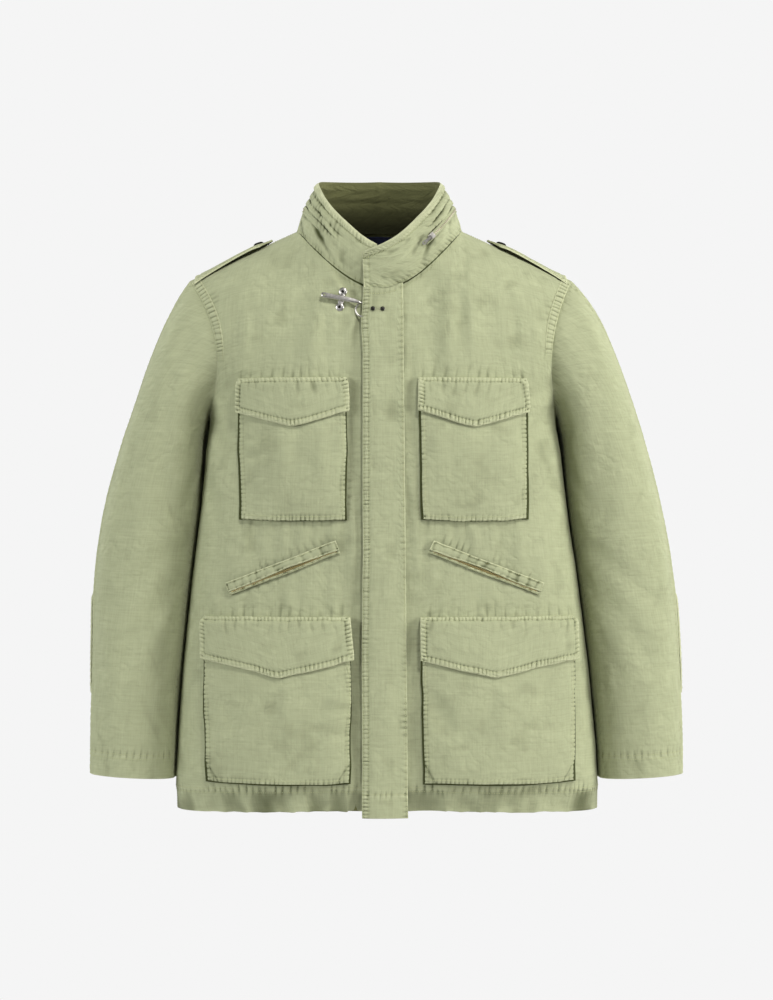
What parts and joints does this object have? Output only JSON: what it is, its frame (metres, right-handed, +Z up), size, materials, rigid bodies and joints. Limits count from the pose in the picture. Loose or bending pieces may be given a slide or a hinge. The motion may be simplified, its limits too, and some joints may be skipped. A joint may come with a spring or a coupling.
{
  "type": "field jacket",
  "caption": "Hip-length field jacket filled out as worn: stand collar, fly front, bellows and slanted pockets, shoulder straps, elbow patches and a metal neck clasp.",
  "frame": {"origin": "middle of the neck, level with the inner ends of the shoulder seams, where the wearer's neck carries the jacket", "axes": "+Z up, the front faces -Y, +X is the wearer's left"},
  "size_m": [0.7686, 0.2532, 0.82],
  "materials": {
    "cloth": "washed cotton and linen twill, sage green",
    "zip_tape": "woven tape, olive",
    "label": "woven, dark navy, plain",
    "steel": "aged nickel, softly polished",
    "dark_metal": "burnished black",
    "brass": "aged brass zip"
  },
  "bodies": {
    "jacket": {"back": "cloth", "front_left": "cloth", "front_right": "cloth", "fly": "cloth", "front_zip": "zip_tape", "collar": "cloth", "collar_zip": "zip_tape", "zip_slider": "steel", "label": "label", "top_sleeve_left": "cloth", "top_sleeve_right": "cloth", "under_sleeve_left": "cloth", "under_sleeve_right": "cloth", "elbow_patch_left": "cloth", "elbow_patch_right": "cloth", "shoulder_strap_left": "cloth", "shoulder_strap_right": "cloth", "strap_button_left": "dark_metal", "strap_button_right": "dark_metal", "chest_pocket_left": "cloth", "chest_pocket_right": "cloth", "chest_flap_left": "cloth", "chest_flap_right": "cloth", "lower_pocket_left": "cloth", "lower_pocket_right": "cloth", "lower_flap_left": "cloth", "lower_flap_right": "cloth", "slant_welt_left": "cloth", "slant_welt_right": "cloth", "slant_lip_left": "cloth", "slant_lip_right": "cloth", "slant_zip_left": "brass", "slant_zip_right": "brass", "clasp_plate": "steel", "clasp_lever": "steel", "clasp_ring": "steel", "ring_rivet_outer": "dark_metal", "ring_rivet_inner": "dark_metal"},
    "pull": {"zip_pull": "steel"}
  },
  "joints": [
    {"name": "pull_swing", "type": "hinge", "parent": "jacket", "child": "pull", "pos_m": [0.06648, -0.08134, -0.01343], "axis": [-0.6591, -0.0837, 0.7474], "range_deg": [0, 150]}
  ]
}
